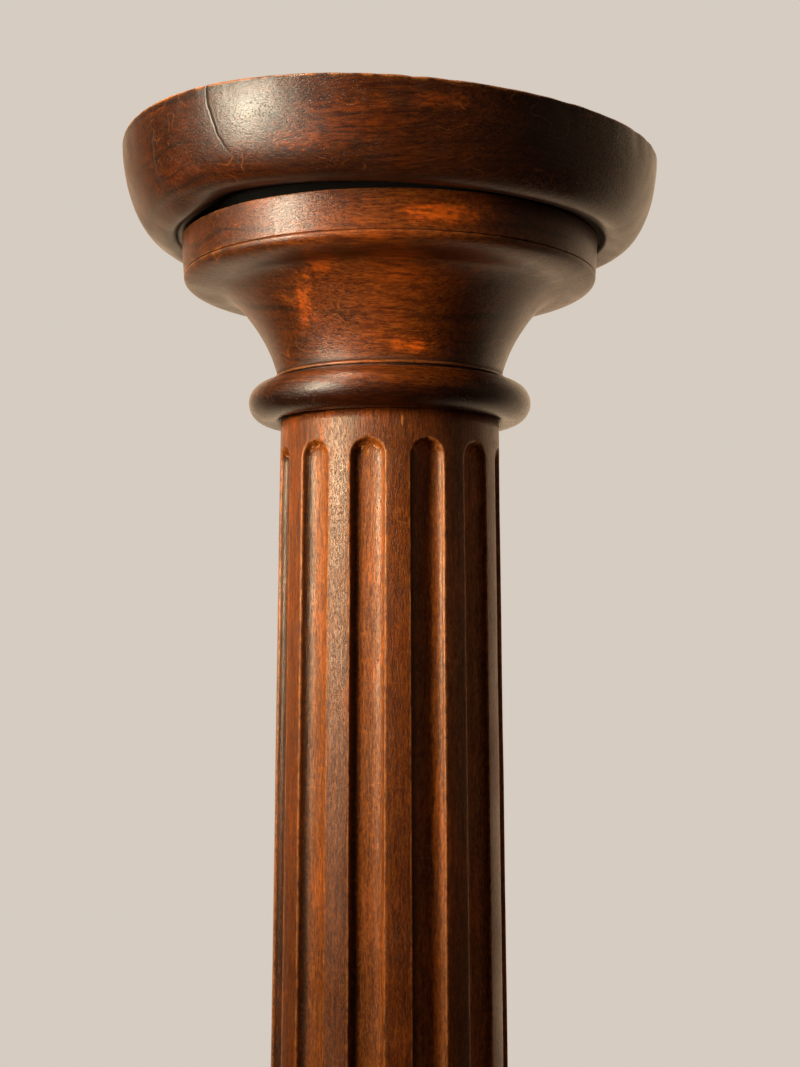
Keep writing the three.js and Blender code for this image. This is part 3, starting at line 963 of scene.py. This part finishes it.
def add_mark(tree, surface, mark, kind, colours, place):
    """Changes the surface where the mesh holds a mark: the drying crack's line, painted shade in a hidden
    hollow, torn grain, or a tint, which paints light and shade on the flutes' walls and shade on the
    ring's lower half. Deep wood is also more polished."""
    shown = mark_value(tree, mark)
    if kind == "crack":
        line = remap(tree, mark_value(tree, "crack_away"), 1.9, 0.9)
        fill_dirt_and_shade(tree, surface, calculate(tree, "MULTIPLY", line, shown), 0.95, colours)
    elif kind == "dark":
        # Painted shade in a hidden hollow
        fill_dirt_and_shade(tree, surface, remap(tree, shown, 0.1, 0.75), 1.0, colours)
    elif kind == "torn":
        flecks = remap(tree, noise(tree, place, 420.0, 2.0).outputs[0], 0.51, 0.63)
        torn = calculate(tree, "MULTIPLY", flecks, shown)
        surface["base"] = mix_colour(tree, torn, surface["base"], colours["pale"])
        surface["sunken"] = calculate(tree, "MAXIMUM", surface["sunken"], torn)
    else:
        surface["base"] = stain_over(tree, surface["base"], shown, MARK_TINTS[kind])
    if kind == "deep":
        surface["polished"] = remap(tree, shown, 0.05, 0.2, 0.0, 0.09)


def wood_material(name, colours, upright_grain, grain_settings, glow_places=(), glow_share=0.4,
                  tone=(1.0, 1.0, 1.0), end_grain_tone=0.4, wear_share=0.45, coat_share=0.1,
                  ring_contrast=0.9, patchiness=0.8, pit_share=0.2, roughness=0.39, pore_cover=0.56,
                  streak_share=0.5, relief=1.0, refraction=1.43, gloss_tint=(1.0, 1.0, 1.0), hairlines=(),
                  nicks=(), marks=()):
    """Stained, polished hardwood. The grain runs upright on the shaft and level elsewhere. Over its
    figure lie worn arrises, which are paler, wax in the creases, which is also painted shade, pores,
    scratches and pits. Hairlines hold that group's settings, nicks are (middle, reach), and marks are
    (mesh attribute, kind); some marks paint shade or light. Where the surface is dulled the polish is
    hidden, and where it is sunken the bump is low."""
    material = bpy.data.materials.new(name)
    material.use_nodes = True
    tree = material.node_tree
    tree.nodes.clear()
    groups = shared_groups()
    place = place_node(tree, "ShaderNodeTexCoord").outputs["Object"]
    turn = (0.0, math.pi / 2, 0.0) if upright_grain else (0.0, 0.0, 0.0)
    along = place_node(tree, "ShaderNodeMapping", {"Vector": place, "Rotation": turn}).outputs[0]
    grain = use_group(tree, groups["hardwood grain"], position=along, **grain_settings)
    pores = use_group(tree, groups["open pores"], position=along, cover=pore_cover)["Pores"]
    polish = use_group(tree, groups["rubbed polish"], position=along)
    scratches = use_group(tree, groups["fine scratches"], position=place)
    wear = use_group(tree, groups["worn edges"], position=place, wear=mark_value(tree, "wear"))["Mask"]
    wax = use_group(tree, groups["wax in creases"], position=place, wax=mark_value(tree, "wax"))["Mask"]

    base = figured_colour(tree, colours, grain, polish, ring_contrast, patchiness, streak_share, tone)
    base = glowing_colour(tree, base, colours, grain, groups["glowing patch"], place, glow_places, glow_share)
    if not upright_grain:
        base = end_grain_colour(tree, base, colours, grain, place, end_grain_tone)
    base = lay_over(tree, base, wear, wear_share, colours["worn"])
    # Wax in the creases, also painted shade there
    base = lay_over(tree, base, wax, 0.72, colours["pore"])
    base = lay_over(tree, base, pores, 0.62, colours["pore"])
    base = lay_over(tree, base, scratches["Light"], 0.22, colours["pale"])
    base = lay_over(tree, base, scratches["Dark"], 0.30, colours["pore"])
    base = lay_over(tree, base, polish["Pits"], pit_share, colours["dark"])
    base = lay_over(tree, base, polish["Specks"], 0.5 * pit_share, colours["pale"])
    sunken_pits = calculate(tree, "MULTIPLY", polish["Pits"], 0.3 * pit_share)
    dull_pits = calculate(tree, "MULTIPLY", polish["Pits"], 0.2 * pit_share)
    surface = {
        "base": base,
        "sunken": calculate(tree, "MULTIPLY_ADD", pores, 0.22, sunken_pits),
        "dulled": calculate(tree, "MAXIMUM", calculate(tree, "MULTIPLY", pores, 0.3), dull_pits),
        "polished": 0.0,
    }
    for settings in hairlines:
        line = use_group(tree, groups["hairline crack"], position=place, **settings)["Mask"]
        fill_dirt_and_shade(tree, surface, line, 0.9, colours)
    for middle, reach in nicks:
        nick = use_group(tree, groups["glowing patch"], position=place, middle=middle, reach=reach)["Mask"]
        surface["base"] = lay_over(tree, surface["base"], nick, 0.8, colours["worn"])
    for mark, kind in marks:
        add_mark(tree, surface, mark, kind, colours, place)

    rough = calculate(tree, "MULTIPLY_ADD", polish["Smears"], 0.12, roughness - 0.06)
    rough = calculate(tree, "SUBTRACT", rough, surface["polished"])
    rough = calculate(tree, "MULTIPLY_ADD", wax, 0.25, rough)
    rough = calculate(tree, "MULTIPLY_ADD", surface["dulled"], 0.6, rough, clamp=True)
    height = calculate(tree, "MULTIPLY", surface["sunken"], -1.0)
    height = calculate(tree, "MULTIPLY_ADD", grain["Fibres"], 0.45, height)
    height = calculate(tree, "MULTIPLY_ADD", polish["Scratches"], 0.2, height)
    bump = place_node(tree, "ShaderNodeBump", {"Strength": 0.6, "Distance": BUMP_DEPTH * relief,
                                               "Height": height})
    covered = calculate(tree, "MAXIMUM", surface["dulled"], wax)
    coat = calculate(tree, "MULTIPLY_ADD", covered, -coat_share, coat_share, clamp=True)
    shader = place_node(tree, "ShaderNodeBsdfPrincipled", {
        "Base Color": surface["base"], "Roughness": rough, "Normal": bump.outputs[0], "Coat Weight": coat,
        "Coat Roughness": 0.30, "IOR": refraction, "Specular Tint": (*gloss_tint, 1.0)})
    leave = place_node(tree, "ShaderNodeOutputMaterial", {"Surface": shader.outputs[0]})
    leave.is_active_output = True
    return material


def wood_colours(settings):
    colours = settings.colours
    return {name: tuple(getattr(colours, name)) for name in colours.__annotations__}


# Operators

class COLUMN_OT_make_plinth(bpy.types.Operator):
    """Make the round plinth"""

    bl_idname = "column.make_plinth"
    bl_label = "Round Plinth"

    def execute(self, context):
        settings = context.scene.column_settings
        material = wood_material("plinth wood", wood_colours(settings), False,
                                 {"pith_across": 0.05, "pith_up": -0.35}, tone=(0.9, 0.9, 0.9))
        mesh = plinth_mesh("round_plinth", settings.plinth)
        place_piece("round_plinth", mesh, material, "plinth")
        return {"FINISHED"}


class COLUMN_OT_make_base(bpy.types.Operator):
    """Make the turned base"""

    bl_idname = "column.make_base"
    bl_label = "Turned Base"

    def execute(self, context):
        settings = context.scene.column_settings
        material = wood_material("turned base wood", wood_colours(settings), False,
                                 {"pith_across": -0.1, "pith_up": -0.25}, wear_share=0.2)
        mesh = block_mesh("turned_base", settings.base, settings.shaft.foot_radius,
                          shaft_low.z - settings.joint_gap, direction=-1, seed=51)
        place_piece("turned_base", mesh, material, "base_moulding")
        return {"FINISHED"}


class COLUMN_OT_make_shaft(bpy.types.Operator):
    """Make the fluted shaft"""

    bl_idname = "column.make_shaft"
    bl_label = "Fluted Shaft"

    def execute(self, context):
        settings = context.scene.column_settings
        nick_near_top = ((0.0065, -0.061, 0.8885), (0.0007, 0.02, 0.0045))
        material = wood_material(
            "shaft wood", wood_colours(settings), True, {"pith_across": 0.09, "pith_up": 0.06},
            tone=(0.745, 0.67, 0.50), coat_share=0.0, ring_contrast=0.5, patchiness=0.45, pit_share=0.45,
            roughness=0.40, pore_cover=0.75, relief=1.1, gloss_tint=(1.0, 0.91, 0.74), nicks=[nick_near_top],
            # The flutes' floors and right walls get painted light, their steep left walls painted shade
            marks=[("faded", "light"), ("shaded", "stained"), ("flute_end", "torn")])
        mesh = shaft_mesh("fluted_column_shaft", settings.shaft, shaft_low.z, shaft_high.z)
        place_piece("fluted_column_shaft", mesh, material, "fluted_shaft")
        return {"FINISHED"}


class COLUMN_OT_make_capital(bpy.types.Operator):
    """Make the turned capital"""

    bl_idname = "column.make_capital"
    bl_label = "Turned Capital"

    def execute(self, context):
        settings = context.scene.column_settings
        glow_places = [((0.022, -0.110, 0.985), (0.030, 0.03, 0.008), 0.8),
                       ((-0.046, -0.072, 0.948), (0.008, 0.03, 0.022), 0.9),
                       ((-0.036, -0.090, 0.966), (0.012, 0.03, 0.008), 0.5),
                       ((0.004, -0.095, 0.968), (0.022, 0.03, 0.004), 0.4),
                       ((0.014, -0.066, 0.928), (0.016, 0.03, 0.006), 1.0)]
        material = wood_material(
            "capital wood", wood_colours(settings), False, {"pith_across": 0.04, "pith_up": 0.62},
            glow_places=glow_places, glow_share=0.55, tone=(0.90, 0.88, 0.80), end_grain_tone=0.3,
            wear_share=0.2, coat_share=0.02, roughness=0.345, streak_share=0.85, relief=1.5, refraction=1.37,
            # The ring's lower half is painted shade, and the hollow is painted shade on the band's hidden
            # face
            marks=[("ring", "deep"), ("hollow", "dark")])
        mesh = block_mesh("turned_capital", settings.capital, settings.shaft.top_radius,
                          shaft_high.z + settings.joint_gap, direction=1, seed=52)
        place_piece("turned_capital", mesh, material, "capital")
        return {"FINISHED"}


class COLUMN_OT_make_top(bpy.types.Operator):
    """Make the warped round top with its drying crack"""

    bl_idname = "column.make_top"
    bl_label = "Warped Top"

    def execute(self, context):
        settings = context.scene.column_settings
        glow_places = [((-0.030, -0.146, 1.021), (0.050, 0.03, 0.016), 0.10),
                       ((-0.047, -0.141, 1.015), (0.030, 0.03, 0.007), 0.12),
                       ((0.022, -0.148, 1.030), (0.022, 0.03, 0.007), 0.10),
                       ((-0.112, -0.098, 1.012), (0.022, 0.03, 0.006), 0.08)]
        hairline = {"middle": (-0.1215, -0.0795, 1.021), "reach": (0.02, 0.02, 0.016), "lean": 0.455,
                    "width": 0.6 * MM}
        material = wood_material(
            "top wood", wood_colours(settings), False, {"pith_across": -0.08, "pith_up": 0.70},
            glow_places=glow_places, glow_share=0.08, tone=(0.20, 0.18, 0.145), end_grain_tone=0.8,
            coat_share=0.0, patchiness=1.0, pit_share=0.1, roughness=0.345, streak_share=0.6, relief=1.1,
            # The hollow is painted shade in the gap over the capital
            refraction=1.40, hairlines=[hairline], marks=[("crack_open", "crack"), ("hollow", "dark")])
        mesh = top_mesh("warped_top", settings.top, settings.capital.band_radius,
                        capital_high.z + settings.joint_gap)
        place_piece("warped_top", mesh, material, "top_disc")
        return {"FINISHED"}


class COLUMN_OT_make_stage(bpy.types.Operator):
    """Make the floor, the surroundings, the lights and the camera"""

    bl_idname = "column.make_stage"
    bl_label = "Studio Stage"

    def execute(self, context):
        settings = context.scene.column_settings
        make_floor(tuple(settings.floor_colour))
        make_surroundings(tuple(settings.floor_colour))
        make_lights()
        make_camera()
        return {"FINISHED"}


# Stage

FRONT_LIGHT = (0.030, 0.0205, 0.0115)
BACKDROP_LIGHT = (2.0, 1.56, 1.12)


def backdrop_share(tree, direction):
    """0 in front and 1 behind, where the pale backdrop stands, for a direction seen from the column."""
    towards_backdrop = (math.sin(10 * DEGREE), math.cos(10 * DEGREE), 0.0)
    facing = calculate_vector(tree, "DOT_PRODUCT", direction, towards_backdrop).outputs["Value"]
    return remap(tree, facing, 0.44, 0.76)


def around_colour(tree, direction, shade):
    """The light that comes to the column: bright from the backdrop behind it, and dim from the front."""
    backdrop = tuple(strength * part for strength, part in zip(BACKDROP_LIGHT, shade))
    return mix_colour(tree, backdrop_share(tree, direction), FRONT_LIGHT, backdrop)


def make_floor(shade):
    """A plain pale floor. The camera sees a matt surface near the column, and farther off the colour of
    the surroundings, so that no horizon shows. To all else it is a part of the surroundings. From below
    it isn't seen, and under the plinth it lets light through."""
    reach = 14.0
    corners = [(-reach, -reach, 0), (reach, -reach, 0), (reach, reach, 0), (-reach, reach, 0)]
    mesh = bpy.data.meshes.new("studio_floor")
    mesh.from_pydata(corners, [], [(0, 1, 2, 3)])
    floor = bpy.data.objects.new("studio_floor", mesh)
    bpy.context.scene.collection.objects.link(floor)
    material = bpy.data.materials.new("studio floor")
    material.use_nodes = True
    tree = material.node_tree
    tree.nodes.clear()
    place = place_node(tree, "ShaderNodeTexCoord").outputs["Object"]
    distance = calculate_vector(tree, "LENGTH", place).outputs["Value"]
    direction = calculate_vector(tree, "NORMALIZE", place).outputs[0]
    far = remap(tree, distance, 0.15, 1.6, 0.72, 1.0)
    rays = place_node(tree, "ShaderNodeLightPath").outputs
    matt = place_node(tree, "ShaderNodeBsdfDiffuse", {"Color": (0.62, 0.58, 0.54, 1.0)})
    glow = place_node(tree, "ShaderNodeEmission", {"Color": (*shade, 1.0)})
    seen = place_node(tree, "ShaderNodeMixShader", {0: far, 1: matt.outputs[0], 2: glow.outputs[0]})
    thrown = place_node(tree, "ShaderNodeEmission", {"Color": around_colour(tree, direction, shade)})
    lit = place_node(tree, "ShaderNodeMixShader", {0: rays["Is Camera Ray"], 1: thrown.outputs[0],
                                                   2: seen.outputs[0]})
    clear = place_node(tree, "ShaderNodeBsdfTransparent")
    below = place_node(tree, "ShaderNodeNewGeometry").outputs["Backfacing"]
    under_plinth = calculate(tree, "LESS_THAN", distance, plinth_high.x)
    unseen = calculate(tree, "SUBTRACT", under_plinth, rays["Is Camera Ray"], clamp=True)
    open_share = calculate(tree, "MAXIMUM", below, unseen)
    whole = place_node(tree, "ShaderNodeMixShader", {0: open_share, 1: lit.outputs[0], 2: clear.outputs[0]})
    place_node(tree, "ShaderNodeOutputMaterial", {"Surface": whole.outputs[0]})
    mesh.materials.append(material)


def make_surroundings(shade):
    """The camera sees one pale colour all round. The light that reaches the column differs with its
    direction."""
    world = bpy.data.worlds.new("studio surroundings")
    world.use_nodes = True
    bpy.context.scene.world = world
    tree = world.node_tree
    tree.nodes.clear()
    direction = place_node(tree, "ShaderNodeTexCoord").outputs["Generated"]
    rays = place_node(tree, "ShaderNodeLightPath").outputs
    seen = mix_colour(tree, rays["Is Camera Ray"], around_colour(tree, direction, shade), shade)
    background = place_node(tree, "ShaderNodeBackground", {"Color": seen})
    place_node(tree, "ShaderNodeOutputWorld", {"Surface": background.outputs[0]})


def make_area_light(name, azimuth, elevation, distance, target, width, height, spread, power, tint,
                    shine=True):
    """A soft rectangular light that faces the target from an azimuth and an elevation. A narrow spread
    keeps its light near the direction in which it faces. Without shine it isn't mirrored in the
    polish."""
    light = bpy.data.lights.new(name, "AREA")
    light.shape = "RECTANGLE"
    light.size = width
    light.size_y = height
    light.spread = spread
    light.energy = power
    light.color = tint
    lamp = bpy.data.objects.new(name, light)
    bpy.context.scene.collection.objects.link(lamp)
    towards = Vector((math.sin(azimuth) * math.cos(elevation), -math.cos(azimuth) * math.cos(elevation),
                      math.sin(elevation)))
    turn = towards.to_track_quat("Z", "Y").to_matrix().to_4x4()
    lamp.matrix_world = Matrix.Translation(Vector(target) + distance * towards) @ turn
    lamp.visible_camera = False
    lamp.visible_glossy = shine


def make_lights():
    """A tall soft window on the left, a low one that lights only the base, a small high one that lights
    the capital's ring, a wide fill on the right without shine, a weak warm lamp beside it, and a faint
    one from above and behind."""
    make_area_light("window", azimuth=-55 * DEGREE, elevation=0, distance=1.15, target=(0, 0, 1.24),
                    width=0.30, height=0.95, spread=73 * DEGREE, power=9.8, tint=(1.0, 0.90, 0.68))
    make_area_light("low window", azimuth=-38 * DEGREE, elevation=0, distance=1.0, target=(0, 0, 0.13),
                    width=0.5, height=0.14, spread=44 * DEGREE, power=1.6, tint=(1.0, 0.90, 0.76))
    make_area_light("high window", azimuth=-52 * DEGREE, elevation=53 * DEGREE, distance=1.3,
                    target=(-0.05, -0.055, 0.955), width=0.22, height=0.22, spread=10 * DEGREE, power=0.17,
                    tint=(1.0, 0.90, 0.70))
    make_area_light("room", azimuth=62 * DEGREE, elevation=12 * DEGREE, distance=1.9, target=(0, 0, 0.95),
                    width=1.6, height=1.4, spread=180 * DEGREE, power=3.4, tint=(1.0, 0.78, 0.55),
                    shine=False)
    make_area_light("far lamp", azimuth=80 * DEGREE, elevation=5 * DEGREE, distance=1.9,
                    target=(0, 0, 0.95), width=1.2, height=1.4, spread=180 * DEGREE, power=1.0,
                    tint=(1.0, 0.74, 0.46))
    make_area_light("ceiling", azimuth=150 * DEGREE, elevation=62 * DEGREE, distance=2.6,
                    target=(0, 0, 0.9), width=1.6, height=1.6, spread=180 * DEGREE, power=12,
                    tint=(1.0, 0.97, 0.92))


def make_camera():
    """The camera stands in front at eye height and looks slightly up. Its lens is worked out from a focal
    length of 1602 pixels in an image 1067 pixels tall."""
    focal_pixels = 1602
    image_height = 1067
    sensor = 36.0
    pitch = 3.96 * DEGREE
    yaw = 0.369 * DEGREE
    eye = Vector((0.0, -0.8965, 0.7708))
    camera_data = bpy.data.cameras.new("front camera")
    camera_data.sensor_width = sensor
    camera_data.lens = focal_pixels * sensor / image_height
    camera = bpy.data.objects.new("front camera", camera_data)
    bpy.context.scene.collection.objects.link(camera)
    forward = Vector((math.sin(yaw) * math.cos(pitch), math.cos(yaw) * math.cos(pitch), math.sin(pitch)))
    turn = forward.to_track_quat("-Z", "Y").to_matrix().to_4x4()
    camera.matrix_world = Matrix.Translation(eye) @ turn
    bpy.context.scene.camera = camera
    bpy.context.scene.view_settings.view_transform = "Standard"


class COLUMN_PT_panel(bpy.types.Panel):
    """Lists the column's pieces and its stage"""

    bl_idname = "COLUMN_PT_panel"
    bl_label = "Wooden Column"
    bl_space_type = "VIEW_3D"
    bl_region_type = "UI"
    bl_category = "Column"

    def draw(self, context):
        settings = context.scene.column_settings
        for operator, sizes in zip(PIECE_OPERATORS, ("plinth", "base", "shaft", "capital", "top")):
            box = self.layout.box()
            box.operator(operator.bl_idname)
            group = getattr(settings, sizes)
            for name in group.__annotations__:
                box.prop(group, name)
        box = self.layout.box()
        for name in settings.colours.__annotations__:
            box.prop(settings.colours, name)
        self.layout.operator(COLUMN_OT_make_stage.bl_idname)


PIECE_OPERATORS = (COLUMN_OT_make_plinth, COLUMN_OT_make_base, COLUMN_OT_make_shaft,
                   COLUMN_OT_make_capital, COLUMN_OT_make_top)
CLASSES = (PlinthSizes, BaseSizes, CapitalSizes, ShaftSizes, TopSizes, WoodColours, ColumnSettings,
           *PIECE_OPERATORS, COLUMN_OT_make_stage, COLUMN_PT_panel)


def register():
    for kind in CLASSES:
        bpy.utils.register_class(kind)
    bpy.types.Scene.column_settings = PointerProperty(type=ColumnSettings)


def unregister():
    del bpy.types.Scene.column_settings
    for kind in reversed(CLASSES):
        bpy.utils.unregister_class(kind)


def main():
    """Makes the stage and every piece."""
    register()
    bpy.ops.column.make_stage()
    bpy.ops.column.make_plinth()
    bpy.ops.column.make_base()
    bpy.ops.column.make_shaft()
    bpy.ops.column.make_capital()
    bpy.ops.column.make_top()


if __name__ == "__main__":
    main()
